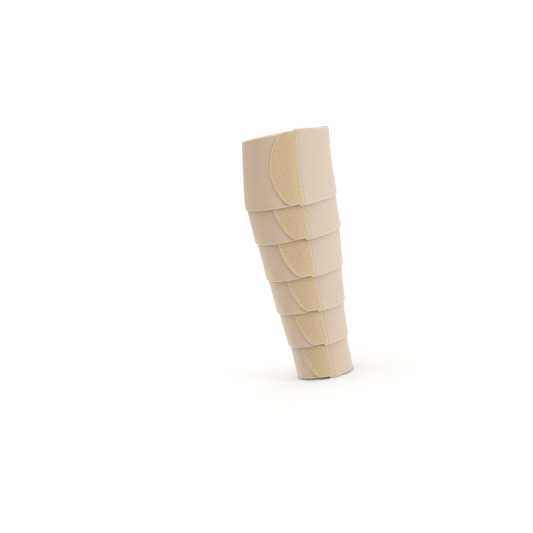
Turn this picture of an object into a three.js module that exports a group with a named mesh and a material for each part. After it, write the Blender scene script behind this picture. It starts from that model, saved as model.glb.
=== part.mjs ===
// Leg compression wrap: six cloth bands that overlap like shingles, each closed by a D-shaped hook tab.
// Millimetres, +Z up along the leg. The origin is the middle of the ankle opening, at the lower rim.
// The closure faces -Y, the shin is towards +X and the calf towards -X.
//
// A band is a flat strip wound once round the leg. Its inner flap starts under the closure, runs round
// the calf and the back of the leg to the shin, and comes back over itself as the outer flap. The hook
// tab is sewn on the end of the outer flap and lies on the inner flap.

import * as THREE from "three";
import { mergeVertices } from "three/addons/utils/BufferGeometryUtils.js";

// Cloth
const BAND_THICKNESS = 1.5;
const TAB_THICKNESS = 0.9;
const PLY_GAP = 0.35;
const PLY = BAND_THICKNESS + PLY_GAP;

// Band
const BAND_HEIGHT = 89.5;
const BAND_TOP_FALL = 1.5; // the top edge is this much lower at the calf than at the shin
const INNER_TOP_RISE = 5; // the inner flap's top edge rises this much on its way to the tab
const FLAP_TOP_RISE = 8; // the end of the outer flap stands this much above the rest of the top edge

// Closure: angles about +Z in degrees, 0 at the shin and -90 at the closure side
const SEAM_ANGLE = -76; // sewn edge of the tabs
const FLAP_END_ANGLE = -81.5; // end of the outer flap, under the tab
const INNER_END_ANGLE = -40; // end of the inner flap, under the outer flap
const FLAP_RUN_OUT_ANGLE = -8; // here the outer flap lies on the leg again
const INNER_TOP_START_ANGLE = -200; // the inner flap's top edge rises from here
const INNER_TOP_FULL_ANGLE = -100; // to here,
const INNER_TOP_FALL_ANGLE = -85; // and under the outer flap it comes down again from here
const INNER_TOP_LOW_ANGLE = -50; // to here
const CLOSURE_SHIN_ANGLE = 6; // the closure's extra plies fade out as far as here towards the shin,
const CLOSURE_CALF_REACH = 70; // and within this length of cloth towards the calf
const TURN = 360;

// Tab
const TAB_UPPER_INSET = 1.6; // from the upper edge of the outer flap to the tab's upper edge
const TAB_LOWER_INSET = 3; // from the lower edge of the outer flap to the tab's lower edge
const TAB_FLAT = 16; // straight part of the upper and lower edges, from the sewn edge
// Exponents of the round edge, above and below its widest place. An ellipse has a bend of 2 and a
// rounding of 0.5, and a smaller bend makes the edge straighter.
const TAB_UPPER_ROUND = { bend: 2, rounding: 0.48 };
const TAB_LOWER_ROUND = { bend: 1.5, rounding: 0.62 };
const TAB_SEWN = 7.5; // width that lies on the outer flap
const TAB_STEP = 7; // past that the tab comes down to the inner flap in this width

// From one band out to the band that covers it, where each is a single ply and at the sewn edge
const SINGLE_STEP = 1.9;
const CLOSURE_STEP = 2 * PLY + TAB_THICKNESS + PLY_GAP;

// Reach of the wrap's outside from the leg axis, at each height
const LEG_SECTIONS = [
  { height: 0, calf: 36.3, shin: 37.9, side: 33.5 },
  { height: 45, calf: 41.5, shin: 38.4, side: 35.7 },
  { height: 90, calf: 48.8, shin: 41.5, side: 40.5 },
  { height: 140, calf: 55.4, shin: 46.5, side: 46.5 },
  { height: 190, calf: 61.6, shin: 52.1, side: 51.5 },
  { height: 240, calf: 67.5, shin: 54.8, side: 56.0 },
  { height: 285, calf: 65.0, shin: 57.0, side: 56.5 },
  { height: 335, calf: 60.0, shin: 62.7, side: 57.5 },
];

// From the knee down. lowerEdge is its height at the shin, calfDrop how much lower it is at the calf,
// flapDrop how much lower the end of the outer flap is, tabReach the tab's widest reach, and pull how
// many degrees the band was closed short of the others, so that its flap and tab end towards the shin.
const BANDS = [
  { number: 1, lowerEdge: 240.0, calfDrop: 2.4, flapDrop: 1.5, tabReach: 40.0, pull: 0.6 },
  { number: 2, lowerEdge: 195.4, calfDrop: 5.0, flapDrop: 1.8, tabReach: 42.2, pull: 0.3 },
  { number: 3, lowerEdge: 144.3, calfDrop: 5.0, flapDrop: 1.2, tabReach: 43.4, pull: 0.0 },
  { number: 4, lowerEdge: 94.8, calfDrop: 1.5, flapDrop: 1.0, tabReach: 40.5, pull: 1.9 },
  { number: 5, lowerEdge: 48.2, calfDrop: 2.5, flapDrop: 1.5, tabReach: 38.5, pull: 2.6 },
  { number: 6, lowerEdge: 2.0, calfDrop: 0.0, flapDrop: 2.0, tabReach: 37.6, pull: 1.0 },
];
const OPEN_PITCH = 47.5; // from the first band's lower edge up to where one more would be

// Mesh density
const BAND_ROWS = 5;
const OUTER_FLAP_COLUMNS = 8; // from its end to where it leaves the inner flap
const BAND_COLUMNS = [
  { from: INNER_END_ANGLE - TURN, to: CLOSURE_SHIN_ANGLE - TURN, count: 6 },
  { from: CLOSURE_SHIN_ANGLE - TURN, to: -140, count: 20 },
  { from: -140, to: FLAP_END_ANGLE, count: 12 },
  { from: FLAP_END_ANGLE, to: INNER_END_ANGLE, count: 8 },
];
const TAB_ROWS = 14;
const TAB_SEWN_COLUMNS = 2;
const TAB_STEP_COLUMNS = 3;
const TAB_FREE_COLUMNS = 4;

const CLOTH_COLOUR = 0xdccbb4;
const TAB_COLOUR = 0xcbb583;

const { degToRad, radToDeg, lerp, smoothstep } = THREE.MathUtils;

// A number of even stops from one value to another, both ends included
function evenStops(from, to, count) {
  return Array.from({ length: count + 1 }, (_, i) => lerp(from, to, i / count));
}

// One column of a table at a height, by a cubic through the rows
function tableAt(rows, column, height) {
  const last = rows.length - 2;
  let i = 0;
  while (i < last && height > rows[i + 1].height) i += 1;
  const slope = (a, b) => (rows[b][column] - rows[a][column]) / (rows[b].height - rows[a].height);
  const span = rows[i + 1].height - rows[i].height;
  const t = (height - rows[i].height) / span;
  const startSlope = slope(Math.max(i - 1, 0), i + 1) * span;
  const endSlope = slope(i, Math.min(i + 2, rows.length - 1)) * span;
  const rise = rows[i + 1][column] - rows[i][column];
  return rows[i][column] + t * (startSlope
    + t * (3 * rise - 2 * startSlope - endSlope + t * (startSlope + endSlope - 2 * rise)));
}

// The ellipse of the wrap's outside at a height
function sectionAt(height) {
  const calf = tableAt(LEG_SECTIONS, "calf", height);
  const shin = tableAt(LEG_SECTIONS, "shin", height);
  const side = tableAt(LEG_SECTIONS, "side", height);
  return { middle: (shin - calf) / 2, half: (shin + calf) / 2, side };
}

// Distance along the cloth from the closure's seam, towards the calf
function fromSeam(angle, height) {
  return degToRad(SEAM_ANGLE - angle) * sectionAt(height).half;
}

// The shingles' own measure of height: minus a band's number at its lower edge, and even between edges
function shingleAt(height) {
  const edges = BANDS.map((band) => band.lowerEdge);
  const reached = edges.findIndex((edge) => height >= edge);
  const i = reached < 0 ? edges.length - 1 : reached;
  const pitch = i > 0 ? edges[i - 1] - edges[i] : OPEN_PITCH;
  return (height - edges[i]) / pitch - BANDS[i].number;
}

// How far the outer flap stands off the inner one, by the angle within one turn
function flapLift(angle) {
  return PLY * smoothstep(-angle, -FLAP_RUN_OUT_ANGLE, -INNER_END_ANGLE);
}

// How far a tab stands off the inner flap, by the distance from its sewn edge
function tabLift(along) {
  return PLY * (2 - smoothstep(along, TAB_SEWN, TAB_SEWN + TAB_STEP));
}

// How much of the closure's extra plies lie at an angle: 1 at the sewn edge, 0 on the bare band
function closureShare(angle, height) {
  const along = fromSeam(angle, height);
  if (along < 0) return 1 - smoothstep(angle, SEAM_ANGLE, CLOSURE_SHIN_ANGLE);
  return 1 - smoothstep(along, TAB_SEWN, CLOSURE_CALF_REACH);
}

// How far up its shingles a band's closure goes on tilting. The first band has no band under its upper
// half, so there its closure levels out.
function closureTilt(band, covered) {
  if (band.number > 1 || covered < 0.5) return covered;
  const past = Math.min(covered - 0.5, 1);
  return 0.5 + past - past ** 2 / 2;
}

// A point of a band's cloth: angle within one turn, height, and lift off the inside of its inner flap.
// Half-way up its bare stretch a band lies on the leg's section, and the closure's extra plies sink
// into the leg, so that the outside stays smooth.
function clothPoint(band, angle, height, lift, point) {
  const { middle, half, side } = sectionAt(height);
  const share = closureShare(angle, height);
  const covered = shingleAt(height) + band.number;
  const tilt = SINGLE_STEP * (0.5 - covered)
    + (CLOSURE_STEP - SINGLE_STEP) * share * (0.5 - closureTilt(band, covered));
  const offset = tilt - BAND_THICKNESS - PLY * share + lift;
  const cos = Math.cos(degToRad(angle));
  const sin = Math.sin(degToRad(angle));
  const normal = new THREE.Vector2(cos / half, sin / side).normalize();
  return point.set(middle + half * cos + offset * normal.x, side * sin + offset * normal.y, height);
}

// How far a place on the strip lies along the outer flap: 1 at its end, 0 before the closure
function alongFlap(turned) {
  return smoothstep(-turned, TURN - FLAP_RUN_OUT_ANGLE, TURN - FLAP_END_ANGLE);
}

function lowerEdge(band, turned) {
  const calfSide = (1 - Math.cos(degToRad(turned))) / 2;
  return band.lowerEdge - band.calfDrop * calfSide - band.flapDrop * alongFlap(turned);
}

// How far the inner flap's top edge has risen towards the tab
function innerTop(turned) {
  const risen = smoothstep(turned, INNER_TOP_START_ANGLE, INNER_TOP_FULL_ANGLE);
  return risen * (1 - smoothstep(turned, INNER_TOP_FALL_ANGLE, INNER_TOP_LOW_ANGLE));
}

function upperEdge(band, turned) {
  const calfSide = (1 - Math.cos(degToRad(turned))) / 2;
  return band.lowerEdge + BAND_HEIGHT - BAND_TOP_FALL * calfSide
    + INNER_TOP_RISE * innerTop(turned) + FLAP_TOP_RISE * alongFlap(turned);
}

// A closed sheet: a flat box whose grid points are laid on the leg by place(column, row, outside, point)
function wrapSheet(columns, rows, place) {
  const across = columns.length - 1;
  const up = rows.length - 1;
  const geometry = new THREE.BoxGeometry(across, up, 1, across, up, 1);
  const flat = geometry.getAttribute("position");
  const point = new THREE.Vector3();
  for (let i = 0; i < flat.count; i += 1) {
    const column = columns[Math.round(flat.getX(i) + across / 2)];
    const row = rows[Math.round(flat.getY(i) + up / 2)];
    place(column, row, flat.getZ(i) > 0, point);
    flat.setXYZ(i, point.x, point.y, point.z);
  }
  geometry.deleteAttribute("normal");
  geometry.deleteAttribute("uv");
  const closed = mergeVertices(geometry);
  closed.computeVertexNormals();
  return closed;
}

function bandGeometry(band) {
  const flapEnd = FLAP_END_ANGLE + band.pull - TURN;
  const stretches = [
    { from: flapEnd, to: INNER_END_ANGLE - TURN, count: OUTER_FLAP_COLUMNS },
    ...BAND_COLUMNS,
  ];
  const stops = stretches.flatMap(({ from, to, count }) => evenStops(from, to, count).slice(0, -1));
  const columns = [...stops, INNER_END_ANGLE];
  const rows = evenStops(0, 1, BAND_ROWS);
  return wrapSheet(columns, rows, (turned, row, outside, point) => {
    const outerFlap = turned < CLOSURE_SHIN_ANGLE - TURN;
    const angle = outerFlap ? turned + TURN : turned;
    const height = lerp(lowerEdge(band, turned), upperEdge(band, turned), row);
    const lift = (outerFlap ? flapLift(angle) : 0) + (outside ? BAND_THICKNESS : 0);
    clothPoint(band, angle, height, lift, point);
  });
}

// Width of a tab at a fraction of its height
function tabWidth(band, row) {
  const { bend, rounding } = row > 0.5 ? TAB_UPPER_ROUND : TAB_LOWER_ROUND;
  const bulge = (1 - Math.abs(2 * row - 1) ** bend) ** rounding;
  return TAB_FLAT + (band.tabReach - TAB_FLAT) * bulge;
}

function tabGeometry(band) {
  const lower = lowerEdge(band, FLAP_END_ANGLE - TURN) + TAB_LOWER_INSET;
  const upper = upperEdge(band, FLAP_END_ANGLE - TURN) - TAB_UPPER_INSET;
  // Columns are counted from the free edge: 0 there, 1 where the tab leaves the inner flap, 2 at the
  // outer flap and 3 at the sewn edge
  const columns = [
    ...evenStops(0, 1, TAB_FREE_COLUMNS).slice(0, -1),
    ...evenStops(1, 2, TAB_STEP_COLUMNS).slice(0, -1),
    ...evenStops(2, 3, TAB_SEWN_COLUMNS),
  ];
  const rows = evenStops(0, 1, TAB_ROWS).map((row) => smoothstep(row, 0, 1));
  return wrapSheet(columns, rows, (column, row, outside, point) => {
    const height = lerp(lower, upper, row);
    const edges = [tabWidth(band, row), TAB_SEWN + TAB_STEP, TAB_SEWN, 0];
    const part = Math.min(Math.floor(column), edges.length - 2);
    const along = lerp(edges[part], edges[part + 1], column - part);
    const angle = SEAM_ANGLE + band.pull - radToDeg(along / sectionAt(height).half);
    const lift = tabLift(along) + (outside ? TAB_THICKNESS : 0);
    clothPoint(band, angle, height, lift, point);
  });
}

function namedMesh(name, geometry, colour) {
  const material = new THREE.MeshStandardMaterial({ color: colour, roughness: 0.95, metalness: 0 });
  const mesh = new THREE.Mesh(geometry, material);
  mesh.name = name;
  return mesh;
}

const wrap = new THREE.Group();
for (const band of BANDS) {
  wrap.add(namedMesh(`band_${band.number}`, bandGeometry(band), CLOTH_COLOUR));
  wrap.add(namedMesh(`hook_tab_${band.number}`, tabGeometry(band), TAB_COLOUR));
}

export default wrap;
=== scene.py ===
import math
from collections import namedtuple

import bpy
import numpy as np
from bpy.props import FloatProperty, FloatVectorProperty, IntProperty, PointerProperty
from mathutils import Matrix, Vector


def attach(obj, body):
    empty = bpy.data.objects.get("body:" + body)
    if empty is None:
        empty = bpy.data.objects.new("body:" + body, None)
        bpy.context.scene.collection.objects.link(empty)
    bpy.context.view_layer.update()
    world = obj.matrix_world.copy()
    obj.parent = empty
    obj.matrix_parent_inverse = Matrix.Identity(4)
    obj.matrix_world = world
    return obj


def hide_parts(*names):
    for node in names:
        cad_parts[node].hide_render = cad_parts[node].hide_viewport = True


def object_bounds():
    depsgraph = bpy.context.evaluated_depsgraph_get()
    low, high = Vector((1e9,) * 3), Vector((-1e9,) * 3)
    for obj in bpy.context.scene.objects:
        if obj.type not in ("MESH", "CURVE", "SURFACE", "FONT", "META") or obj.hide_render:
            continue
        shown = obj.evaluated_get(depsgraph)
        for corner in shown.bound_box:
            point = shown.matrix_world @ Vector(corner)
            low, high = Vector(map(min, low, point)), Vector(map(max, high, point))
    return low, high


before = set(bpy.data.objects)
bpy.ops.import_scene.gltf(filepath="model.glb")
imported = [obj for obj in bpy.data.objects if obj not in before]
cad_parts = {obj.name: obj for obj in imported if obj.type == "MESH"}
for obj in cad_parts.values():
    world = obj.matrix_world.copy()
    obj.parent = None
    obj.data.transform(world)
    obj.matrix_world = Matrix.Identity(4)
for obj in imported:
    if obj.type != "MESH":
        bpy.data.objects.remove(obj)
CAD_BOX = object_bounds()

bl_info = {
    "name": "Leg compression wrap",
    "version": (1, 0, 0),
    "blender": (4, 5, 0),
    "location": "3D View > Sidebar > Leg Wrap",
    "description": "Makes a leg compression wrap: shingled cloth bands, hook tabs and their stitches",
    "category": "Object",
}

# Metres and radians, in the part's own frame: +Z up the leg, the closure faces -Y, the shin is
# towards +X and the calf towards -X. Bands are numbered from the knee down.
MM = 0.001
DEGREE = math.pi / 180
TURN = 2 * math.pi

# Closure: angles about +Z, 0 at the shin
SEAM_ANGLE = -76 * DEGREE  # sewn edge of the tabs
FLAP_END_ANGLE = -81.5 * DEGREE  # here the outer flap's edges have all of their drop and rise
FLAP_PAST = 5.6 * MM  # length of the outer flap past the tab's sewn edge
INNER_END_ANGLE = -40 * DEGREE  # end of the inner flap, under the outer flap
FLAP_RUN_OUT_ANGLE = -8 * DEGREE  # here the outer flap lies on the leg again
CLOSURE_SHIN_ANGLE = 6 * DEGREE  # the closure's extra plies fade out as far as here towards the shin,
CLOSURE_CALF_REACH = 70 * MM  # and within this length of cloth towards the calf

# Shape of the bands and tabs
BAND_TOP_FALL = 1.5 * MM  # the upper edge is this much lower at the calf than at the shin
INNER_RISE_ANGLES = (-108 * DEGREE, -84 * DEGREE)  # the inner flap's lower edge rises between these
INNER_TOP_RISE = 5 * MM  # rise of the inner flap's upper edge on its way to the tab,
INNER_TOP_RISE_ANGLES = (-200 * DEGREE, -100 * DEGREE)  # between these angles,
INNER_TOP_FALL_ANGLES = (-85 * DEGREE, -50 * DEGREE)  # and down again between these
FLAP_TOP_RISE = 8 * MM  # the end of the outer flap stands this much above the rest of the upper edge
SINGLE_STEP = 1.9 * MM  # from one band out to the band that covers it, where each is a single ply
TAB_SEWN = 7.5 * MM  # width of a tab that lies on the outer flap
TAB_STEP = 20 * MM  # past that the tab comes down to the inner flap in this width
TAB_FLAT = 16 * MM  # straight part of a tab's upper and lower edge, from its sewn edge
# Bend and rounding of a tab's round edge, above and below its widest place
TAB_UPPER_ROUND = (2.0, 0.48)
TAB_LOWER_ROUND = (1.5, 0.62)

# Standing off of the lower edges, which is most on the closure's calf side. A pair gives the cosines of
# the angle between which an edge comes to lie tight, and a share says how much of the standing off goes.
UNDER_TIGHT = (-0.5, 0.3)  # towards the shin, apart from the outer flaps and tabs
OVER_TIGHT = (0.15, 0.65)  # towards the shin, on the outer flaps and tabs
TIGHT_SHARE = 0.85
CALF_TIGHT = (-1.0, -0.75)  # at the calf
CALF_TIGHT_SHARE = 0.9
FLARE_RISE = 0.4  # share of the way up to the next edge where the standing off begins
FLARE_LEAST = 0.75  # least share of the standing off, where the edge waves in
WAVE_SCALE = 2.0  # the waves come from noise: its scale round the leg,
WAVE_STEP = 7.3  # the step in it from band to band,
WAVE_RANGE = (0.3, 0.7)  # and its values for the least and the full standing off

# Height, and the reach of the wrap's outside towards the calf, the shin and the side, in millimetres
LEG_SECTIONS = np.array((
    (0, 36.3, 37.9, 33.5),
    (45, 41.5, 38.4, 35.7),
    (90, 48.8, 41.5, 40.5),
    (140, 55.4, 46.5, 46.5),
    (190, 61.6, 52.1, 51.5),
    (240, 67.5, 54.8, 56.0),
    (285, 65.0, 57.0, 56.5),
    (335, 60.0, 62.7, 57.5),
))

# What the tables in the node trees cover: heights, number of stops, and the reach that is 1 in them
TABLE_HEIGHTS = (-10 * MM, 350 * MM)
TABLE_STOPS = 181
TABLE_REACH = 100 * MM

# lower_edge is the height of a band's lower edge at the shin. The edge is lower by calf_drop at the calf
# and by flap_drop at the end of the outer flap, and higher by inner_rise where the inner flap passes under
# the tab. pull is the angle by which a band is closed short of the others, towards the shin. curl is its
# tab's share of the edge curl, and the last column the share of the painted shade colour at the end of its
# outer flap.
Band = namedtuple("Band", "number lower_edge calf_drop flap_drop inner_rise tab_reach pull curl wear")
BANDS = (
    Band(1, 240.0 * MM, 2.4 * MM, 1.5 * MM, 0.0 * MM, 40.0 * MM, 0.6 * DEGREE, 0.2, 0.0),
    Band(2, 195.4 * MM, 5.0 * MM, 1.8 * MM, 1.4 * MM, 42.2 * MM, 0.3 * DEGREE, 0.4, 0.2),
    Band(3, 144.3 * MM, 5.0 * MM, 1.2 * MM, 1.8 * MM, 43.4 * MM, 0.0 * DEGREE, 0.8, 0.0),
    Band(4, 94.8 * MM, 1.5 * MM, 1.0 * MM, 1.8 * MM, 40.5 * MM, 1.9 * DEGREE, 0.4, 0.4),
    Band(5, 48.2 * MM, 2.5 * MM, 1.5 * MM, 1.8 * MM, 38.5 * MM, 2.6 * DEGREE, 0.2, 0.9),
    Band(6, 2.0 * MM, 0.0 * MM, 2.0 * MM, 0.0 * MM, 37.6 * MM, 1.0 * DEGREE, 0.6, 1.0),
)
OPEN_PITCH = 47.5 * MM  # from the first band's lower edge up to where one more would be

# Mesh lines lie at these distances from a cut edge, and evenly further in
EDGE_LINES = np.array((0.0, 0.08, 0.25, 0.5, 0.9, 1.4, 2.2, 3.4)) * MM
LINE_SPACING = 2.4 * MM
CORNER_RADIUS = 1.6 * MM
BAND_ROUND = (1.3 * MM, 0.55 * MM)  # rounding of a cut edge towards the outer and the inner side,
TAB_ROUND = (0.6 * MM, 0.4 * MM)  # and that of a tab
TAB_AREA_STOPS = 401
RIM_WIDTH = (0.5 * MM, 1.7 * MM)  # the paler rim, partly a pressed or sealed edge and partly painted highlight, is full up to the first and gone at the second
PAINTED_SHADE_ANGLES = (-300 * DEGREE, -200 * DEGREE)  # places on the strip between which the painted shade of the calf side begins
FLAP_SHADE_REACH = 48 * MM  # the painted shade at an outer flap's end fades out as far as here from its end
CLOTH_SEAM_SHADOW_REACH = 1.7 * MM  # the painted shadow beside the tab's sewn edge reaches as far as here from it
CURL_REACH = 5 * MM  # the tab's free edge curls within this distance,
CURL_FADE = (0.4, 0.6)  # and less so between these shares of its height
TAPE_GROOVE = 2.2 * MM  # line of painted shade where the seam presses a groove in the tape, from its sewn edge
TAPE_SEAM_REACH = 1.4 * MM  # and as far as here on both sides of it
STITCH_SUNK = 0.8  # depth of the thread's middle at a needle hole, in radii of the thread
THREAD_SIDES = 6

UV_NAME = "cloth_uv"
LINING_UV_SHIFT = 0.13  # the inner side's place on the UV map, above the outer side's


def length_setting(name, description, default, least, most):
    """A length that a user may change, in millimetres."""
    return FloatProperty(
        name=name, description=description, subtype="DISTANCE",
        default=default * MM, min=least * MM, max=most * MM,
    )


def colour_setting(name, description, default, brightest=1):
    """A colour that a user may change."""
    return FloatVectorProperty(
        name=name, description=description, subtype="COLOR",
        default=default, size=3, min=0, max=brightest,
    )


class BandSettings(bpy.types.PropertyGroup):
    """Sizes and colours of the cloth bands."""

    thickness: length_setting("Cloth thickness", "Thickness of the laminated cloth", 1.5, 0.5, 3)
    ply_gap: length_setting("Ply gap", "Gap between two plies that lie on each other", 0.35, 0.05, 1)
    height: length_setting("Band height", "Height of a band between its cut edges", 89.5, 70, 95)
    flare: length_setting(
        "Edge flare", "How far the lower edge stands off on the calf side, at most", 3.0, 0.0, 6,
    )
    colour: colour_setting("Cloth", "Colour of the brushed outer side", (0.426, 0.346, 0.269))
    # Painted shade: this darker, warmer colour stands in for the shade on the calf side, where the tabs are
    # pressed on.
    painted_shade_colour: colour_setting(
        "Painted shade", "Colour of the stretch that the tabs are pressed on", (0.425, 0.329, 0.243),
    )
    # This colour is also painted on the outer side's rim, partly as a pressed edge and partly as painted
    # highlight.
    edge_colour: colour_setting("Cut edge", "Colour of the pressed cut edges", (0.577, 0.498, 0.402))
    # Painted shadow: the thin shade line beside each tab's sewn edge, where the tab's edge and the seam
    # shade the cloth.
    seam_shadow_colour: colour_setting(
        "Seam shade", "Colour of the cloth that the tab's seam presses in", (0.34, 0.245, 0.185),
    )
    lining_colour: colour_setting(
        "Lining", "Colour of the knitted side towards the leg", (0.52, 0.425, 0.334),
    )


class TabSettings(bpy.types.PropertyGroup):
    """Sizes and colours of the hook tabs."""

    thickness: length_setting("Tape thickness", "Thickness of the hook tape", 0.9, 0.4, 2)
    curl: length_setting(
        "Edge curl", "How far the free edge stands off the inner flap, at most", 1.2, 0.0, 3,
    )
    upper_inset: length_setting("Upper inset", "From the outer flap's upper edge to the tab", 1.6, 0.0, 6)
    lower_inset: length_setting("Lower inset", "From the outer flap's lower edge to the tab", 3.0, 0.0, 6)
    colour: colour_setting("Hook tape", "Colour of the woven back of the tape", (0.406, 0.309, 0.181))
    edge_colour: colour_setting(
        "Tape edge", "Colour of the sealed rim of the tape", (0.577, 0.481, 0.315),
    )


class StitchSettings(bpy.types.PropertyGroup):
    """Sizes and colour of the zigzag seam along each tab."""

    inset: length_setting("Inset", "From the tab's sewn edge to the seam", 0.6, 0.3, 3)
    width: length_setting("Width", "Width of the zigzag", 3.2, 1, 6)
    length: length_setting(
        "Stitch length", "Advance along the seam from needle hole to needle hole", 2.0, 0.8, 5,
    )
    thread: length_setting("Thread", "Diameter of the thread", 0.5, 0.2, 1)
    steps: IntProperty(name="Steps", description="Points along each stitch", default=6, min=2, max=12)
    colour: colour_setting("Thread colour", "Colour of the thread", (0.57, 0.475, 0.335))


class StageSettings(bpy.types.PropertyGroup):
    """Floor, light and camera."""

    floor_colour: colour_setting("Floor", "Colour of the floor", (0.75, 0.75, 0.75))
    room_colour: colour_setting(
        "Room light", "Colour of the soft light from all round", (1.35, 1.31, 1.27), brightest=2,
    )
    key_colour: colour_setting("Key light", "Colour of the softbox on the shin side", (0.80, 0.90, 1.0))
    key_strength: FloatProperty(
        name="Key strength", description="Strength of the softbox", default=2.1, min=0, max=10,
    )
    fill_colour: colour_setting(
        "Fill light", "Colour of the low lamp on the calf side", (0.62, 0.82, 1.0),
    )
    fill_strength: FloatProperty(
        name="Fill strength", description="Power of the low lamp in watts", default=6.0, min=0, max=50,
    )
    distance: length_setting(
        "Camera distance", "From the camera to the middle of the wrap", 1800, 500, 5000,
    )
    elevation: FloatProperty(
        name="Camera elevation", description="Height of the camera above the horizon",
        default=8.5 * DEGREE, min=-1.5, max=1.5, subtype="ANGLE",
    )
    roll: FloatProperty(
        name="Camera roll", description="Turn of the camera about its own axis",
        default=9.58 * DEGREE, min=-1.5, max=1.5, subtype="ANGLE",
    )
    lens: FloatProperty(
        name="Lens", description="Focal length in millimetres on a 36 mm sensor",
        default=90.2, min=20, max=300,
    )


class WrapSettings(bpy.types.PropertyGroup):
    """Everything a user may change on the wrap."""

    bands: PointerProperty(type=BandSettings)
    tabs: PointerProperty(type=TabSettings)
    stitches: PointerProperty(type=StitchSettings)
    stage: PointerProperty(type=StageSettings)


def smoothstep(value, start, end):
    """0 before start, 1 after end and smooth between them."""
    share = np.clip((value - start) / (end - start), 0, 1)
    return share * share * (3 - 2 * share)


def section_at(height):
    """The wrap's reach towards calf, shin and side at a height, by a cubic through the table."""
    rows = LEG_SECTIONS * MM
    last = len(rows) - 1
    i = int(np.clip(np.searchsorted(rows[:, 0], height) - 1, 0, last - 1))

    def slope(a, b):
        return (rows[b, 1:] - rows[a, 1:]) / (rows[b, 0] - rows[a, 0])

    span = rows[i + 1, 0] - rows[i, 0]
    share = (height - rows[i, 0]) / span
    start = slope(max(i - 1, 0), i + 1) * span
    end = slope(i, min(i + 2, last)) * span
    rise = rows[i + 1, 1:] - rows[i, 1:]
    bend = 3 * rise - 2 * start - end + share * (start + end - 2 * rise)
    return rows[i, 1:] + share * (start + share * bend)


def shingle_at(height):
    """The shingles' own measure of height: minus a band's number at its lower edge, even between edges."""
    reached = [i for i, band in enumerate(BANDS) if height >= band.lower_edge]
    i = reached[0] if reached else len(BANDS) - 1
    pitch = BANDS[i - 1].lower_edge - BANDS[i].lower_edge if i else OPEN_PITCH
    return (height - BANDS[i].lower_edge) / pitch - BANDS[i].number


def along_flap(turned):
    """How far a place on the strip lies along the outer flap: 1 at its end, 0 before the closure."""
    return smoothstep(-turned, TURN - FLAP_RUN_OUT_ANGLE, TURN - FLAP_END_ANGLE)


def band_edges(band, turned, height):
    """Heights of a band's lower and upper edge at a place on the strip."""
    calf_side = (1 - np.cos(turned)) / 2
    at_flap = along_flap(turned)
    lower = band.lower_edge - band.calf_drop * calf_side - band.flap_drop * at_flap
    upper = band.lower_edge + height - BAND_TOP_FALL * calf_side + FLAP_TOP_RISE * at_flap
    under_tab = smoothstep(turned, *INNER_RISE_ANGLES)
    beside_tab = smoothstep(turned, *INNER_TOP_RISE_ANGLES)
    beside_tab = beside_tab * (1 - smoothstep(turned, *INNER_TOP_FALL_ANGLES))
    return lower + band.inner_rise * under_tab, upper + INNER_TOP_RISE * beside_tab


def tab_edges(band, settings):
    """Heights of a tab's lower and upper edge."""
    lower, upper = band_edges(band, FLAP_END_ANGLE - TURN, settings.bands.height)
    return lower + settings.tabs.lower_inset, upper - settings.tabs.upper_inset


def tab_width(band, row):
    """Width of a tab at a share of its height."""
    from_middle = np.abs(2 * row - 1)
    upper, lower = (
        np.clip(1 - from_middle ** bend, 0, 1) ** rounding
        for bend, rounding in (TAB_UPPER_ROUND, TAB_LOWER_ROUND)
    )
    return TAB_FLAT + (band.tab_reach - TAB_FLAT) * np.where(row > 0.5, upper, lower)


def tab_area(band, height):
    """Area of a tab's flat pattern."""
    return float(tab_width(band, np.linspace(0, 1, TAB_AREA_STOPS)).mean() * height)


def strip_radius(band, height):
    """The radius that a band's strip is wound at: the wrap's mean radius half-way up the band."""
    calf, shin, side = section_at(band.lower_edge + height / 2)
    return (calf + shin + 2 * side) / 4


# Flat patterns


def mesh_lines(length):
    """Mesh lines across a cloth of this length: each one's share of the way, and its shift in metres."""
    even = np.linspace(0, 1, max(int(length / LINE_SPACING), 3))[1:-1]
    ends = np.zeros(len(EDGE_LINES))
    share = np.concatenate((ends, even, ends + 1))
    shift = np.concatenate((EDGE_LINES, EDGE_LINES[-1] * (1 - 2 * even), -EDGE_LINES[::-1]))
    return share, shift


def corner_rise(from_end):
    """How far a rounded corner takes the edge in, at a distance from the end of the cloth."""
    short = np.clip(CORNER_RADIUS - from_end, 0, CORNER_RADIUS)
    return CORNER_RADIUS - np.sqrt(CORNER_RADIUS ** 2 - short ** 2)


def edge_distance(along, up):
    """Distance from each grid point to the cut edge, and a long way for points well inside."""
    outline = np.concatenate([
        np.stack((part_x, part_y), -1) for part_x, part_y in (
            (along[0, :-1], up[0, :-1]), (along[:-1, -1], up[:-1, -1]),
            (along[-1, :0:-1], up[-1, :0:-1]), (along[:0:-1, 0], up[:0:-1, 0]),
        )
    ])
    lines = len(EDGE_LINES) + 1
    near = np.ones(along.shape, bool)
    near[lines:-lines, lines:-lines] = False
    points = np.stack((along[near], up[near]), -1)[:, None]
    run = np.roll(outline, -1, 0) - outline
    share = ((points - outline) * run).sum(-1) / (run ** 2).sum(-1)
    foot = outline + np.clip(share, 0, 1)[..., None] * run
    distance = np.full(along.shape, 1.0)
    distance[near] = np.sqrt(((points - foot) ** 2).sum(-1).min(1))
    return distance


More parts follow.
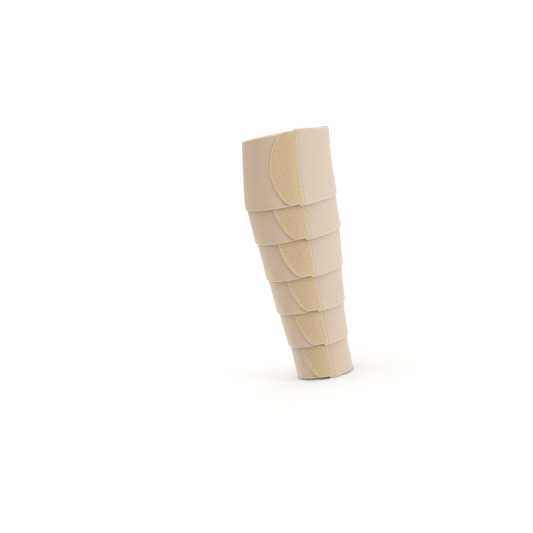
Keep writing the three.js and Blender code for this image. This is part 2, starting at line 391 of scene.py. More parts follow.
def flat_cloth(name, along, up, marks, thickness, outer_round, inner_round):
    """A closed flat cloth of this thickness on a grid of points, with rounded cut edges.

    Columns go round the leg as angles do, and rows go up. The mesh carries the UV map, the share of the
    thickness (ply), how close the cut edge is (rim), the given marks, and which faces are the lining or
    the cut edge.
    """
    rows, columns = along.shape
    distance = edge_distance(along, up)

    def fullness(radius):
        return np.sqrt(1 - (1 - np.clip(distance / radius, 0, 1)) ** 2)

    outer = np.arange(rows * columns).reshape(rows, columns)
    inner = outer.copy()
    inside = np.zeros(along.shape, bool)
    inside[1:-1, 1:-1] = True
    inner[inside] = rows * columns + np.arange(inside.sum())

    def stacked(outer_values, inner_values):
        return np.concatenate((outer_values.ravel(), inner_values[inside]))

    ply = stacked(0.5 + fullness(outer_round) / 2, 0.5 - fullness(inner_round) / 2)
    flat = np.stack((stacked(along, along), stacked(up, up), ply * thickness), -1)

    def quads(index):
        corners = (index[:-1, :-1], index[:-1, 1:], index[1:, 1:], index[1:, :-1])
        return np.stack([corner.ravel() for corner in corners], -1)

    faces = np.concatenate((quads(outer), quads(inner)[:, ::-1]))
    mesh = bpy.data.meshes.new(name)
    mesh.from_pydata(flat.tolist(), [], faces.tolist())
    mesh.shade_smooth()

    half = len(faces) // 2
    place = flat[faces.ravel(), :2] - flat[:, :2].min(0)
    place[half * 4:, 1] += LINING_UV_SHIFT
    mesh.uv_layers.new(name=UV_NAME).uv.foreach_set("vector", place.astype(np.float32).ravel())

    from_edge = stacked(distance, distance)
    rim = 1 - smoothstep(from_edge, *RIM_WIDTH)
    marked = ((label, stacked(values, values)) for label, values in marks.items())
    for label, values in (("ply", ply), ("rim", rim), *marked):
        attribute = mesh.attributes.new(label, "FLOAT", "POINT")
        attribute.data.foreach_set("value", values.astype(np.float32))
    cut = (from_edge[faces] <= inner_round).all(1)
    lining = np.arange(len(faces)) >= half
    for label, values in (("cut_edge", cut), ("lining", lining & ~cut)):
        mesh.attributes.new(label, "BOOLEAN", "FACE").data.foreach_set("value", values)
    return mesh


def band_pattern(band, settings):
    """The flat strip of one band, and the rows and columns of its grid."""
    height = settings.bands.height
    radius = strip_radius(band, height)
    seam = (SEAM_ANGLE + band.pull - TURN) * radius
    start = seam - FLAP_PAST
    length = INNER_END_ANGLE * radius - start
    share, shift = mesh_lines(length)
    along = start + share * length + shift
    rise = corner_rise(np.minimum(along - start, start + length - along))
    lower, upper = band_edges(band, along / radius, height)
    row_share, row_shift = (values[:, None] for values in mesh_lines(height))
    up = lower + rise + row_share * (upper - lower - 2 * rise) + row_shift
    along = np.broadcast_to(along, up.shape)
    # Marks of painted shade: a shadow line beside the tab's sewn edge, and the darker colour of the calf
    # side and of some outer flap ends.
    marks = {
        "seam": 1 - smoothstep(np.abs(along - seam), 0, CLOTH_SEAM_SHADOW_REACH),
        "painted_shade": np.maximum(
            smoothstep(along / radius, *PAINTED_SHADE_ANGLES),
            band.wear * (1 - smoothstep(along - start, 0, FLAP_SHADE_REACH)),
        ),
    }
    name = f"band_cloth_{band.number}"
    return flat_cloth(name, along, up, marks, settings.bands.thickness, *BAND_ROUND), up.shape


def tab_pattern(band, settings):
    """The flat D of one tab, by distance from its sewn edge, height and depth."""
    lower, upper = tab_edges(band, settings)
    row_share, row_shift = (values[:, None] for values in mesh_lines(upper - lower))
    straight = lower + row_share * (upper - lower) + row_shift
    width = tab_width(band, (straight - lower) / (upper - lower))
    share, shift = mesh_lines(band.tab_reach)
    along = width * (1 - share) - shift
    rise = corner_rise(along)
    up = lower + rise + row_share * (upper - lower - 2 * rise) + row_shift
    free = smoothstep(along, 0, TAB_SEWN)
    at_edge = 1 - smoothstep(edge_distance(along, up), 0, CURL_REACH)
    # The seam mark places the painted shade of the groove that the seam presses in the tape.
    marks = {
        "seam": 1 - smoothstep(np.abs(along - TAPE_GROOVE), 0, TAPE_SEAM_REACH),
        "free": free,
        "curl": free * at_edge * (1 - smoothstep(row_share, *CURL_FADE)),
    }
    name = f"hook_tape_{band.number}"
    return flat_cloth(name, along, up, marks, settings.tabs.thickness, *TAB_ROUND)


# Node trees


class Field:
    """A value in a node tree. Arithmetic with it adds the nodes that work it out."""

    def __init__(self, nodes, socket):
        self.nodes = nodes
        self.socket = socket

    def __add__(self, other):
        return self.nodes.calc("ADD", self, other)

    def __sub__(self, other):
        return self.nodes.calc("SUBTRACT", self, other)

    def __rsub__(self, other):
        return self.nodes.calc("SUBTRACT", other, self)

    def __mul__(self, other):
        return self.nodes.calc("MULTIPLY", self, other)

    def __truediv__(self, other):
        return self.nodes.calc("DIVIDE", self, other)


class Nodes:
    """Adds and links the nodes of one tree."""

    COLUMN = 180

    def __init__(self, tree):
        self.tree = tree

    def add(self, kind, inputs=None, **settings):
        """A node of this kind with its settings, and its inputs by name or number."""
        node = self.tree.nodes.new(kind)
        node.location.x = self.COLUMN * len(self.tree.nodes)
        for setting, value in settings.items():
            setattr(node, setting, value)
        for key, value in (inputs or {}).items():
            self.feed(node.inputs[key], value)
        return node

    def feed(self, socket, value):
        """Links a field to a socket, or sets the socket's own value."""
        if isinstance(value, Field):
            self.tree.links.new(value.socket, socket)
        else:
            socket.default_value = value

    def make(self, kind, inputs=None, output=0, **settings):
        """One output of a new node, by name or number."""
        return Field(self, self.add(kind, inputs, **settings).outputs[output])

    def fields(self, node):
        """All outputs of a node, by name."""
        return {socket.name: Field(self, socket) for socket in node.outputs}

    def calc(self, operation, *values):
        """One step of arithmetic."""
        return self.make("ShaderNodeMath", dict(enumerate(values)), operation=operation)

    def smooth(self, value, start, end):
        """0 before start, 1 after end and smooth between them."""
        inputs = {"Value": value, "From Min": start, "From Max": end}
        return self.make("ShaderNodeMapRange", inputs, "Result", interpolation_type="SMOOTHSTEP")

    def curve(self, share, values):
        """A table of even steps from 0 to 1 as a curve."""
        node = self.add("ShaderNodeFloatCurve", {"Value": share})
        points = node.mapping.curves[0].points
        stops = np.linspace(0, 1, len(values))
        points[0].location = (0, values[0])
        points[1].location = (1, values[-1])
        for stop, value in zip(stops[1:-1], values[1:-1]):
            points.new(stop, value)
        for point in points:
            point.handle_type = "VECTOR"
        node.mapping.update()
        return Field(self, node.outputs["Value"])

    def join(self, x, y, z=0.0):
        """A vector from its parts."""
        return self.make("ShaderNodeCombineXYZ", {"X": x, "Y": y, "Z": z})

    def split(self, vector):
        """The parts of a vector, by name."""
        return self.fields(self.add("ShaderNodeSeparateXYZ", {0: vector}))

    def group(self, tree, inputs):
        """The outputs of another tree, by name."""
        return self.fields(self.add("GeometryNodeGroup", inputs, node_tree=tree))

    def mix(self, share, first, second):
        """A colour between two, by a share."""
        return self.make("ShaderNodeMix", {0: share, 6: first, 7: second}, 2, data_type="RGBA")


FLOAT = "NodeSocketFloat"
GEOMETRY = "NodeSocketGeometry"
MATERIAL = "NodeSocketMaterial"
SIZES = ("Cloth Thickness", "Ply", "Closure Step", "Edge Flare")


def new_tree(name, inputs, outputs=(("Geometry", GEOMETRY),)):
    """The nodes of a new geometry tree with named inputs and outputs, and its inputs as fields."""
    tree = bpy.data.node_groups.new(name, "GeometryNodeTree")
    for label, kind in inputs:
        tree.interface.new_socket(label, in_out="INPUT", socket_type=kind)
    for label, kind in outputs:
        tree.interface.new_socket(label, in_out="OUTPUT", socket_type=kind)
    nodes = Nodes(tree)
    return nodes, nodes.fields(nodes.add("NodeGroupInput"))


def leg_section_tree():
    """The ellipse of the wrap's outside at a height, and the shingles' own measure of that height."""
    labels = ("Middle", "Half Width", "Side", "Shingle")
    nodes, given = new_tree("Leg section", [("Height", FLOAT)], [(label, FLOAT) for label in labels])
    low, high = TABLE_HEIGHTS
    heights = np.linspace(low, high, TABLE_STOPS)
    share = (given["Height"] - low) / (high - low)
    reaches = np.array([section_at(height) for height in heights]) / TABLE_REACH
    calf, shin, side = (nodes.curve(share, column) * TABLE_REACH for column in reaches.T)
    shingles = np.array([shingle_at(height) for height in heights])
    first, last = shingles[0], shingles[-1]
    rising = nodes.curve(share, (shingles - first) / (last - first))
    nodes.add("NodeGroupOutput", {
        "Middle": (shin - calf) / 2,
        "Half Width": (shin + calf) / 2,
        "Side": side,
        "Shingle": rising * (last - first) + first,
    })
    return nodes.tree


def lay_tree(section):
    """Lays cloth on the leg, at an angle within one turn, a height and a lift off the inner flap's inside.

    A band tilts outwards from its upper edge to its lower edge, so that each band stands one step off the
    next. The closure's extra plies sink into the leg, so that the outside stays smooth.
    """
    labels = ("Angle", "Height", "Lift", "Over", "Band", *SIZES)
    inputs = [("Geometry", GEOMETRY)] + [(label, FLOAT) for label in labels]
    nodes, given = new_tree("Lay on leg", inputs)
    angle, height, number = given["Angle"], given["Height"], given["Band"]
    leg = nodes.group(section, {"Height": height})
    half, side = leg["Half Width"], leg["Side"]
    covered = leg["Shingle"] + number

    to_shin = nodes.smooth(angle, SEAM_ANGLE, CLOSURE_SHIN_ANGLE)
    to_calf = nodes.smooth((SEAM_ANGLE - angle) * half, TAB_SEWN, CLOSURE_CALF_REACH)
    share = 1.0 - nodes.calc("MAXIMUM", to_shin, to_calf)
    # The first band has no band under its upper half, so there its closure levels out
    past = nodes.calc("MINIMUM", nodes.calc("MAXIMUM", covered - 0.5, 0.0), 1.0)
    level = nodes.calc("MINIMUM", covered, 0.5) + (past - past * past / 2)
    first = nodes.calc("LESS_THAN", number, 1.5)
    closure = first * (level - covered) + covered

    closure_step = (given["Closure Step"] - SINGLE_STEP) * share
    tilt = closure_step * (0.5 - closure) + (0.5 - covered) * SINGLE_STEP
    sunk = given["Ply"] * share + given["Cloth Thickness"]

    cosine, sine = nodes.calc("COSINE", angle), nodes.calc("SINE", angle)
    spot = nodes.join(cosine * WAVE_SCALE, sine * WAVE_SCALE, number * WAVE_STEP)
    wave = nodes.make("ShaderNodeTexNoise", {"Vector": spot, "Scale": 1.0, "Detail": 1.0})
    waving = nodes.make("ShaderNodeMapRange", {
        "Value": wave, "From Min": WAVE_RANGE[0], "From Max": WAVE_RANGE[1],
        "To Min": FLARE_LEAST, "To Max": 1.0,
    }, "Result")
    under, over = (nodes.smooth(cosine, *turns) for turns in (UNDER_TIGHT, OVER_TIGHT))
    tight = (over - under) * given["Over"] + under
    calf = 1.0 - nodes.smooth(cosine, *CALF_TIGHT)
    loose = (1.0 - tight * TIGHT_SHARE) * (1.0 - calf * CALF_TIGHT_SHARE)
    standing = 1.0 - nodes.smooth(covered, 0.0, FLARE_RISE)
    flare = given["Edge Flare"] * (loose * standing)
    offset = flare * waving + (tilt - sunk + given["Lift"])

    steepest = nodes.join(cosine / half, sine / side)
    outwards = nodes.split(nodes.make("ShaderNodeVectorMath", {0: steepest}, operation="NORMALIZE"))
    laid = nodes.join(
        offset * outwards["X"] + (half * cosine + leg["Middle"]),
        offset * outwards["Y"] + side * sine,
        height,
    )
    placed = nodes.make("GeometryNodeSetPosition", {"Geometry": given["Geometry"], "Position": laid})
    nodes.add("NodeGroupOutput", {"Geometry": placed})
    return nodes.tree


def finish_tree(nodes, geometry, materials):
    """The end of every tree: real geometry, and its materials by the name of the faces they go on."""
    geometry = nodes.make("GeometryNodeRealizeInstances", {"Geometry": geometry})
    for faces, material in materials:
        inputs = {"Geometry": geometry, "Material": material}
        if faces:
            inputs["Selection"] = nodes.make(
                "GeometryNodeInputNamedAttribute", {"Name": faces}, "Attribute", data_type="BOOLEAN"
            )
        geometry = nodes.make("GeometryNodeSetMaterial", inputs)
    nodes.add("NodeGroupOutput", {"Geometry": geometry})


def sheet_inputs(*materials):
    """The named inputs of a tree that lays a cloth on the leg."""
    labels = [("Geometry", GEOMETRY), ("Band", FLOAT)]
    return labels + [(label, FLOAT) for label in SIZES] + [(label, MATERIAL) for label in materials]


def lay_cloth(nodes, lay, given, geometry, angle, height, lift, over):
    """Geometry laid on the leg, with the sizes that the tree was given."""
    inputs = {"Geometry": geometry, "Angle": angle, "Height": height, "Lift": lift, "Over": over}
    sizes = {label: given[label] for label in ("Band", *SIZES)}
    return nodes.group(lay, {**inputs, **sizes})["Geometry"]


def band_tree(lay):
    """Winds a flat strip once round the leg; its end lies over its start as the outer flap."""
    inputs = sheet_inputs("Cloth", "Cut Edge", "Lining") + [("Strip Radius", FLOAT)]
    nodes, given = new_tree("Wind band", inputs)
    flat = nodes.split(nodes.make("GeometryNodeInputPosition"))
    turned = flat["X"] / given["Strip Radius"]
    outer_flap = nodes.calc("LESS_THAN", turned, CLOSURE_SHIN_ANGLE - TURN)
    angle = outer_flap * TURN + turned
    over = nodes.smooth(angle * -1.0, -FLAP_RUN_OUT_ANGLE, -INNER_END_ANGLE)
    lift = over * outer_flap * given["Ply"] + flat["Z"]
    laid = lay_cloth(nodes, lay, given, given["Geometry"], angle, flat["Y"], lift, outer_flap)
    finish_tree(nodes, laid, (
        ("", given["Cloth"]), ("lining", given["Lining"]), ("cut_edge", given["Cut Edge"]),
    ))


def tab_place(nodes, section, given, along, height):
    """Angle and lift of a point on a tab, from its distance to the sewn edge."""
    leg = nodes.group(section, {"Height": height})
    plies = 2.0 - nodes.smooth(along, TAB_SEWN, TAB_SEWN + TAB_STEP)
    return given["Seam Angle"] - along / leg["Half Width"], plies * given["Ply"]


def tab_tree(section, lay):
    """Lays a flat tab over the end of the outer flap and down on the inner flap."""
    inputs = sheet_inputs("Tape", "Tape Edge") + [("Seam Angle", FLOAT), ("Edge Curl", FLOAT)]
    nodes, given = new_tree("Lay hook tab", inputs)
    flat = nodes.split(nodes.make("GeometryNodeInputPosition"))
    angle, lift = tab_place(nodes, section, given, flat["X"], flat["Y"])
    curl = nodes.make("GeometryNodeInputNamedAttribute", {"Name": "curl"}, "Attribute", data_type="FLOAT")
    lift = lift + (curl * given["Edge Curl"] + flat["Z"])
    laid = lay_cloth(nodes, lay, given, given["Geometry"], angle, flat["Y"], lift, 1.0)
    finish_tree(nodes, laid, (("", given["Tape"]), ("cut_edge", given["Tape Edge"])))


STITCH_SIZES = (
    "Seam Angle", "Start", "End", "Inset", "Width", "Stitch Length", "Thread Diameter", "Tape Thickness",
)


def stitch_tree(section, lay):
    """Sews a zigzag seam along a tab: the thread dips at each needle hole."""
    inputs = sheet_inputs("Thread") + [(label, FLOAT) for label in STITCH_SIZES]
    nodes, given = new_tree("Zigzag seam", inputs + [("Steps", "NodeSocketInt")])
    count = nodes.calc("FLOOR", (given["End"] - given["Start"]) / given["Stitch Length"])
    line = nodes.make("GeometryNodeMeshLine", {"Count": count * given["Steps"] + 1.0})
    path = nodes.make("GeometryNodeMeshToCurve", {"Mesh": line})
    stitch = nodes.make("GeometryNodeInputIndex") / given["Steps"]
    across = nodes.calc("PINGPONG", stitch, 1.0) * given["Width"] + given["Inset"]
    height = stitch * given["Stitch Length"] + given["Start"]
    angle, lift = tab_place(nodes, section, given, across, height)
    radius = given["Thread Diameter"] / 2
    arch = nodes.calc("SINE", nodes.calc("FRACT", stitch) * math.pi)
    lift = lift + given["Tape Thickness"] + radius * (arch - STITCH_SUNK)
    laid = lay_cloth(nodes, lay, given, path, angle, height, lift, 1.0)
    profile = nodes.make("GeometryNodeCurvePrimitiveCircle", {"Resolution": THREAD_SIDES, "Radius": radius})
    inputs = {"Curve": laid, "Profile Curve": profile, "Fill Caps": True}
    thread = nodes.make("GeometryNodeCurveToMesh", inputs)
    smooth = nodes.make("GeometryNodeSetShadeSmooth", {"Geometry": thread, "Shade Smooth": True})
    finish_tree(nodes, smooth, (("", given["Thread"]),))


def wrap_tree(kind):
    """A modifier tree by its kind. The trees are made once."""
    made = bpy.data.node_groups
    if "Leg section" not in made:
        section = leg_section_tree()
        lay = lay_tree(section)
        band_tree(lay)
        tab_tree(section, lay)
        stitch_tree(section, lay)
    return made[kind]


def new_object(name, data):
    """An object of this data in the scene."""
    obj = bpy.data.objects.new(name, data)
    bpy.context.scene.collection.objects.link(obj)
    return obj


def new_piece(name, mesh, tree, values):
    """A piece in the scene: a tree run on its flat mesh, with its inputs by name, left as a plain mesh."""
    obj = new_object(name, mesh)
    modifier = obj.modifiers.new(tree.name, "NODES")
    modifier.node_group = tree
    for item in tree.interface.items_tree:
        if item.in_out == "INPUT" and item.name in values:
            modifier[item.identifier] = values[item.name]
    graph = bpy.context.evaluated_depsgraph_get()
    made = bpy.data.meshes.new_from_object(
        obj.evaluated_get(graph), preserve_all_data_layers=True, depsgraph=graph
    )
    obj.modifiers.clear()
    obj.data = made
    made.name = name
    bpy.data.meshes.remove(mesh)
    if not made.polygons:
        raise RuntimeError(f"{name}: the tree {tree.name} made no faces")
    return obj


def laid_sizes(band, settings):
    """The laying tree's inputs for one band."""
    cloth = settings.bands
    ply = cloth.thickness + cloth.ply_gap
    return {
        "Band": float(band.number),
        "Cloth Thickness": cloth.thickness,
        "Ply": ply,
        "Closure Step": 2 * ply + settings.tabs.thickness + cloth.ply_gap,
        "Edge Flare": cloth.flare,
    }


# Materials

FABRIC_INPUTS = ("Roughness", "Sheen Weight", "Sheen Roughness", "Sheen Tint")
FABRICS = {
    "band cloth": (0.95, 0.35, 0.4, (1.0, 0.97, 0.93, 1.0)),
    "cut edge": (0.9, 0.1, 0.5, (1.0, 0.96, 0.9, 1.0)),
    "lining": (0.9, 0.12, 0.5, (1.0, 0.96, 0.9, 1.0)),
    "hook tape": (0.85, 0.15, 0.45, (1.0, 0.95, 0.85, 1.0)),
    "tape edge": (0.8, 0.08, 0.45, (1.0, 0.94, 0.8, 1.0)),
    "seam thread": (0.7, 0.1, 0.4, (1.0, 0.95, 0.82, 1.0)),
}
FABRIC_SPECULAR = 0.25
CLOTH_TONES = (0.94, 1.06)  # the mottle's darkest and lightest, as factors of the cloth's colour
CLOTH_SEAM_SHADOW_SHARE = 0.42  # share of the painted seam shadow where it is darkest, and of the cut edge's colour at the rim, which is partly a pressed edge and partly painted highlight
CLOTH_RIM_SHARE = 0.75  # and of the cut edge's colour at the rim
CORE_PLIES = (0.28, 0.36)  # shares of the thickness between which the lining turns to the core,
CLOTH_PLIES = (0.86, 0.94)  # and the core to the cloth
TAPE_TONES = (0.82, 1.18)  # the weave's darkest and lightest, as factors of the tape's colour
TAPE_GROOVE_SHARE = 0.65  # share of the painted groove shade where the seam presses the tape most, which is the tape's colour times this
TAPE_GROOVE_SHADE = 0.78  # which is the tape's colour times this


def shaded(colour, factor=1):
    """A colour, lighter or darker by a factor, with its alpha."""
    return (*(min(part * factor, 1.0) for part in colour), 1.0)


class Fabric(Nodes):
    """A fabric material with its plain numbers set, and its nodes."""

    def __init__(self, name):
        self.material = bpy.data.materials.new(name)
        self.material.use_nodes = True
        self.material.node_tree.nodes.clear()
        super().__init__(self.material.node_tree)
        inputs = {"Specular IOR Level": FABRIC_SPECULAR, **dict(zip(FABRIC_INPUTS, FABRICS[name]))}
        self.shader = self.add("ShaderNodeBsdfPrincipled", inputs)
        self.add("ShaderNodeOutputMaterial", {"Surface": Field(self, self.shader.outputs[0])})

    def attribute(self, name):
        """A number that the mesh carries."""
        return self.make("ShaderNodeAttribute", None, "Fac", attribute_name=name)

    def place(self, turn=0.0):
        """Metres along and up the cloth, turned by an angle."""
        place = self.make("ShaderNodeUVMap", uv_map=UV_NAME)
        if turn:
            place = self.make("ShaderNodeMapping", {"Vector": place, "Rotation": (0.0, 0.0, turn)})
        return place

    def noise(self, place, scale, detail=2.0):
        """Soft noise of a scale, in features a metre."""
        inputs = {"Vector": place, "Scale": scale, "Detail": detail, "Roughness": 0.55}
        return self.make("ShaderNodeTexNoise", inputs)

    def stripes(self, place, spacing, distortion):
        """Fine lines across the first direction, a spacing apart."""
        return self.make("ShaderNodeTexWave", {
            "Vector": place, "Scale": TURN / 20 / spacing,
            "Distortion": distortion, "Detail": 1.0, "Detail Scale": 2.0,
        }, "Fac")

    def rim_share(self):
        """How much of the sealed rim's colour a tape's rim has: less along the sewn edge."""
        return self.attribute("free") * 0.4 + 0.55

    def finish(self, colour, relief, depth):
        """Gives the fabric its colour and a relief of this depth in metres; gives the material."""
        bump = self.make("ShaderNodeBump", {"Strength": 1.0, "Distance": depth, "Height": relief})
        self.feed(self.shader.inputs["Base Color"], colour)
        self.feed(self.shader.inputs["Normal"], bump)
        return self.material


def band_cloth(settings):
    """Brushed loop cloth: a soft mottle, a short pile, painted shade on the calf side and beside the seam,
    and a paler rim that is partly painted highlight.
    """
    bands = settings.bands
    nodes = Fabric("band cloth")
    place = nodes.place()
    mottle = nodes.noise(place, 380)
    pile = nodes.noise(place, 2300, detail=1.0)
    loops = nodes.make("ShaderNodeTexVoronoi", {"Vector": place, "Scale": 1250.0}, "Distance")
    tone = nodes.smooth(mottle * 0.6 + pile * 0.4, 0.3, 0.7)
    # Painted shade: the calf side, and some outer flap ends, take the darker colour.
    painted_shade = nodes.attribute("painted_shade")
    dark, light = (
        nodes.mix(painted_shade, shaded(bands.colour, factor), shaded(bands.painted_shade_colour, factor))
        for factor in CLOTH_TONES
    )
    cloth = nodes.mix(tone, dark, light)
    # Painted shadow beside the tab's sewn edge.
    cloth = nodes.mix(nodes.attribute("seam") * CLOTH_SEAM_SHADOW_SHARE, cloth, shaded(bands.seam_shadow_colour))
    # The paler rim is partly a pressed edge and partly painted highlight.
    cloth = nodes.mix(nodes.attribute("rim") * CLOTH_RIM_SHARE, cloth, shaded(bands.edge_colour))
    nodes.feed(nodes.shader.inputs["Roughness"], 1.0 - tone * 0.12)
    return nodes.finish(cloth, pile * 0.7 - loops * 0.5, 0.16 * MM)


def cut_edge(settings):
    """The cut through the laminate: cloth, a paler foam core and lining."""
    bands = settings.bands
    nodes = Fabric("cut edge")
    place = nodes.place()
    ragged = nodes.noise(place, 1600) * 0.12 + nodes.attribute("ply")
    in_core, in_cloth = (nodes.smooth(ragged, *plies) for plies in (CORE_PLIES, CLOTH_PLIES))
    core = nodes.mix(in_core, shaded(bands.lining_colour), shaded(bands.edge_colour))
    colour = nodes.mix(in_cloth, core, shaded(bands.edge_colour, 0.9))
    return nodes.finish(colour, nodes.noise(place, 2600), 0.15 * MM)


def lining(settings):
    """The knitted side towards the leg: fine upright ribs."""
    colour = settings.bands.lining_colour
    nodes = Fabric("lining")
    place = nodes.place()
    tone = nodes.stripes(place, 1.3 * MM, 0.6) * 0.55 + nodes.noise(place, 1900) * 0.45
    knit = nodes.mix(tone, shaded(colour, 0.9), shaded(colour, 1.08))
    return nodes.finish(knit, tone, 0.2 * MM)


def hook_tape(settings):
    """The woven back of hook tape: a fine twill on the bias, painted shade in a groove along the seam and a
    paler rim that is partly painted highlight.
    """
    colour = settings.tabs.colour
    nodes = Fabric("hook tape")
    bias = nodes.place(45 * DEGREE)
    twill = nodes.stripes(bias, 1.3 * MM, 1.5)
    streaks = nodes.make("ShaderNodeMapping", {"Vector": bias, "Scale": (1.0, 0.5, 1.0)})
    slub = nodes.noise(streaks, 800)
    fibre = nodes.noise(nodes.place(), 1100)
    tone = slub * 0.5 + fibre * 0.4 + twill * 0.1
    dark, light = (shaded(colour, factor) for factor in TAPE_TONES)
    tape = nodes.mix(nodes.smooth(tone, 0.36, 0.62), dark, light)
    # Painted shade in the groove that the seam presses in the tape.
    groove_shade = nodes.attribute("seam") * TAPE_GROOVE_SHARE
    tape = nodes.mix(groove_shade, tape, shaded(colour, TAPE_GROOVE_SHADE))
    # The paler rim is partly the sealed edge and partly painted highlight.
    rim = nodes.smooth(nodes.attribute("rim"), 0.3, 1.0) * nodes.rim_share()
    tape = nodes.mix(rim, tape, shaded(settings.tabs.edge_colour))
    nodes.feed(nodes.shader.inputs["Roughness"], 1.0 - tone * 0.3)
    return nodes.finish(tape, twill * 0.6 + fibre, 0.12 * MM)


def tape_edge(settings):
    """The sealed rim of the tape."""
    colour = settings.tabs.edge_colour
    nodes = Fabric("tape edge")
    fibre = nodes.noise(nodes.place(), 1500)
    sealed = nodes.mix(fibre, shaded(colour, 0.9), shaded(colour, 1.08))
    edge = nodes.mix(nodes.rim_share(), shaded(settings.tabs.colour), sealed)
    return nodes.finish(edge, fibre, 0.12 * MM)


def seam_thread(settings):
    """Twisted sewing thread."""
    colour = settings.stitches.colour
    nodes = Fabric("seam thread")
    fibre = nodes.noise(nodes.make("ShaderNodeTexCoord", None, "Object"), 2800)
    thread = nodes.mix(fibre, shaded(colour, 0.85), shaded(colour, 1.12))
    return nodes.finish(thread, fibre, 0.08 * MM)


# Pieces


def strip_size(mesh, rows, columns):
    """Length, greatest height and area of a laid cloth's outer side, from its grid of points."""
    points = np.empty(len(mesh.vertices) * 3)
    mesh.vertices.foreach_get("co", points)
    grid = points.reshape(-1, 3)[:rows * columns].reshape(rows, columns, 3)
    across = np.linalg.norm(np.diff(grid, axis=1), axis=-1)
    up = np.linalg.norm(np.diff(grid, axis=0), axis=-1).sum(0)
    middle = across[rows // 2]
    return middle.sum(), up.max(), float((middle * (up[1:] + up[:-1]) / 2).sum())


class LEGWRAP_OT_make_bands(bpy.types.Operator):
    """Make the six cloth bands, wound round the leg"""

    bl_idname = "leg_wrap.make_bands"
    bl_label = "Cloth Bands"

    def execute(self, context):
        settings = context.scene.leg_wrap
        finishes = {
            "Cloth": band_cloth(settings), "Cut Edge": cut_edge(settings), "Lining": lining(settings),
        }
        for band in BANDS:
            pattern, (rows, columns) = band_pattern(band, settings)
            obj = new_piece(f"band_cloth_{band.number}", pattern, wrap_tree("Wind band"), {
                **laid_sizes(band, settings), **finishes,
                "Strip Radius": strip_radius(band, settings.bands.height),
            })
            length, height, area = strip_size(obj.data, rows, columns)
            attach(obj, "root")
            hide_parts(f"band_{band.number}")
        return {"FINISHED"}


class LEGWRAP_OT_make_seam_stitches(bpy.types.Operator):
    """Sew a zigzag seam along the sewn edge of each tab"""

    bl_idname = "leg_wrap.make_seam_stitches"
    bl_label = "Seam Stitches"

    def execute(self, context):
        settings = context.scene.leg_wrap
        sewing = settings.stitches
        thread = seam_thread(settings)
        for band in BANDS:
            name = f"seam_stitches_{band.number}"
            lower, upper = tab_edges(band, settings)
            obj = new_piece(name, bpy.data.meshes.new(name), wrap_tree("Zigzag seam"), {
                **laid_sizes(band, settings),
                "Thread": thread,
                "Seam Angle": SEAM_ANGLE + band.pull,
                "Start": lower + sewing.inset,
                "End": upper - sewing.inset,
                "Inset": sewing.inset,
                "Width": sewing.width,
                "Stitch Length": sewing.length,
                "Thread Diameter": sewing.thread,
                "Tape Thickness": settings.tabs.thickness,
                "Steps": sewing.steps,
            })
            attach(obj, "root")
        return {"FINISHED"}


class LEGWRAP_OT_make_hook_tabs(bpy.types.Operator):
    """Make the six D-shaped hook tabs, once their seams are sewn"""

    bl_idname = "leg_wrap.make_hook_tabs"
    bl_label = "Hook Tabs"

    def execute(self, context):
        settings = context.scene.leg_wrap
        finishes = {"Tape": hook_tape(settings), "Tape Edge": tape_edge(settings)}
        for band in BANDS:
            pattern = tab_pattern(band, settings)
            obj = new_piece(f"hook_tape_{band.number}", pattern, wrap_tree("Lay hook tab"), {
                **laid_sizes(band, settings), **finishes,
                "Seam Angle": SEAM_ANGLE + band.pull,
                "Edge Curl": settings.tabs.curl * band.curl,
            })
            lower, upper = tab_edges(band, settings)
            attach(obj, "root")
            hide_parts(f"hook_tab_{band.number}")
            upper - lower
            tab_area(band, upper - lower)
        return {"FINISHED"}


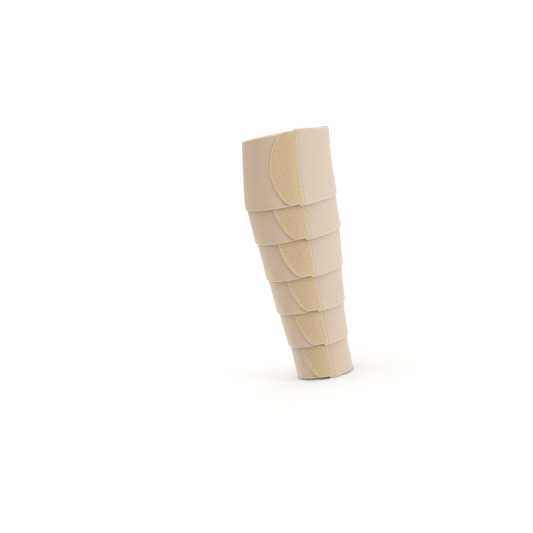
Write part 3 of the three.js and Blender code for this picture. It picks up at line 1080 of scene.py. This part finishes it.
class LEGWRAP_OT_make_stage(bpy.types.Operator):
    """Make the floor, the light and the camera"""

    bl_idname = "leg_wrap.make_stage"
    bl_label = "Stage"

    FLOOR_CORNERS = 96
    FLOOR_RADIUS = 60.0
    FLOOR_GAP = 0.5 * MM
    TARGET = Vector((0.0, 0.0, 166.2 * MM))
    SHIFT = (-0.0722, -0.0243)
    TOWARDS_KEY = Vector((0.8, -0.5, 0.17))
    KEY_ANGLE = 24 * DEGREE
    FILL_PLACE = Vector((-0.45, 0.2, 0.06))
    FILL_AIM = Vector((0.0, 0.0, 0.06))
    FILL_CONE = 50 * DEGREE
    FILL_RADIUS = 80 * MM

    def execute(self, context):
        stage = context.scene.leg_wrap.stage
        self.make_floor(stage)
        self.make_light(context.scene, stage)
        self.make_camera(context.scene, stage)
        context.scene.view_settings.view_transform = "Standard"
        return {"FINISHED"}

    def make_floor(self, stage):
        level = CAD_BOX[0].z - self.FLOOR_GAP
        corners = np.arange(self.FLOOR_CORNERS) * TURN / self.FLOOR_CORNERS
        x, y = self.FLOOR_RADIUS * np.cos(corners), self.FLOOR_RADIUS * np.sin(corners)
        points = [(*corner, level) for corner in zip(x, y)]
        mesh = bpy.data.meshes.new("floor")
        mesh.from_pydata(points, [], [range(len(points))])
        material = bpy.data.materials.new("floor")
        material.use_nodes = True
        shader = material.node_tree.nodes["Principled BSDF"]
        matt = {"Base Color": shaded(stage.floor_colour), "Roughness": 1.0, "Specular IOR Level": 0.0}
        for label, value in matt.items():
            shader.inputs[label].default_value = value
        mesh.materials.append(material)
        new_object("floor", mesh)

    def make_light(self, scene, stage):
        world = bpy.data.worlds.new("soft room")
        world.use_nodes = True
        background = world.node_tree.nodes["Background"]
        background.inputs["Color"].default_value = (*stage.room_colour, 1.0)
        scene.world = world
        self.add_lamp(
            "key", "SUN", Vector(), self.TOWARDS_KEY,
            color=stage.key_colour, energy=stage.key_strength, angle=self.KEY_ANGLE,
        )
        self.add_lamp(
            "fill", "SPOT", self.FILL_PLACE, self.FILL_PLACE - self.FILL_AIM,
            color=stage.fill_colour, energy=stage.fill_strength,
            spot_size=self.FILL_CONE, spot_blend=1.0, shadow_soft_size=self.FILL_RADIUS,
        )

    def add_lamp(self, name, kind, place, towards, **settings):
        light = bpy.data.lights.new(name, kind)
        for setting, value in settings.items():
            setattr(light, setting, value)
        lamp = new_object(name, light)
        lamp.location = place
        lamp.rotation_mode = "QUATERNION"
        lamp.rotation_quaternion = towards.to_track_quat("Z", "Y")

    def make_camera(self, scene, stage):
        data = bpy.data.cameras.new("camera")
        data.lens = stage.lens
        data.sensor_width = 36.0
        data.shift_x, data.shift_y = self.SHIFT
        back = Vector((0.0, -math.cos(stage.elevation), math.sin(stage.elevation)))
        right = Vector((1.0, 0.0, 0.0))
        up = back.cross(right)
        cosine, sine = math.cos(stage.roll), math.sin(stage.roll)
        axes = Matrix((right * cosine - up * sine, right * sine + up * cosine, back)).transposed()
        camera = new_object("camera", data)
        camera.matrix_world = Matrix.Translation(self.TARGET + back * stage.distance) @ axes.to_4x4()
        scene.camera = camera


class LEGWRAP_PT_sidebar(bpy.types.Panel):
    """The wrap's settings and what makes its pieces"""

    bl_idname = "LEGWRAP_PT_sidebar"
    bl_label = "Leg Wrap"
    bl_space_type = "VIEW_3D"
    bl_region_type = "UI"
    bl_category = "Leg Wrap"

    def draw(self, context):
        settings = context.scene.leg_wrap
        for operator, group in (
            (LEGWRAP_OT_make_bands, settings.bands),
            (LEGWRAP_OT_make_seam_stitches, settings.stitches),
            (LEGWRAP_OT_make_hook_tabs, settings.tabs),
            (LEGWRAP_OT_make_stage, settings.stage),
        ):
            box = self.layout.box()
            for name in group.__annotations__:
                box.prop(group, name)
            box.operator(operator.bl_idname)


CLASSES = (
    BandSettings, TabSettings, StitchSettings, StageSettings, WrapSettings,
    LEGWRAP_OT_make_bands, LEGWRAP_OT_make_seam_stitches, LEGWRAP_OT_make_hook_tabs,
    LEGWRAP_OT_make_stage, LEGWRAP_PT_sidebar,
)


def register():
    for cls in CLASSES:
        bpy.utils.register_class(cls)
    bpy.types.Scene.leg_wrap = PointerProperty(type=WrapSettings)


def unregister():
    del bpy.types.Scene.leg_wrap
    for cls in reversed(CLASSES):
        bpy.utils.unregister_class(cls)


def main():
    register()
    bpy.ops.leg_wrap.make_bands()
    bpy.ops.leg_wrap.make_seam_stitches()
    bpy.ops.leg_wrap.make_hook_tabs()
    bpy.ops.leg_wrap.make_stage()


if __name__ == "__main__":
    main()
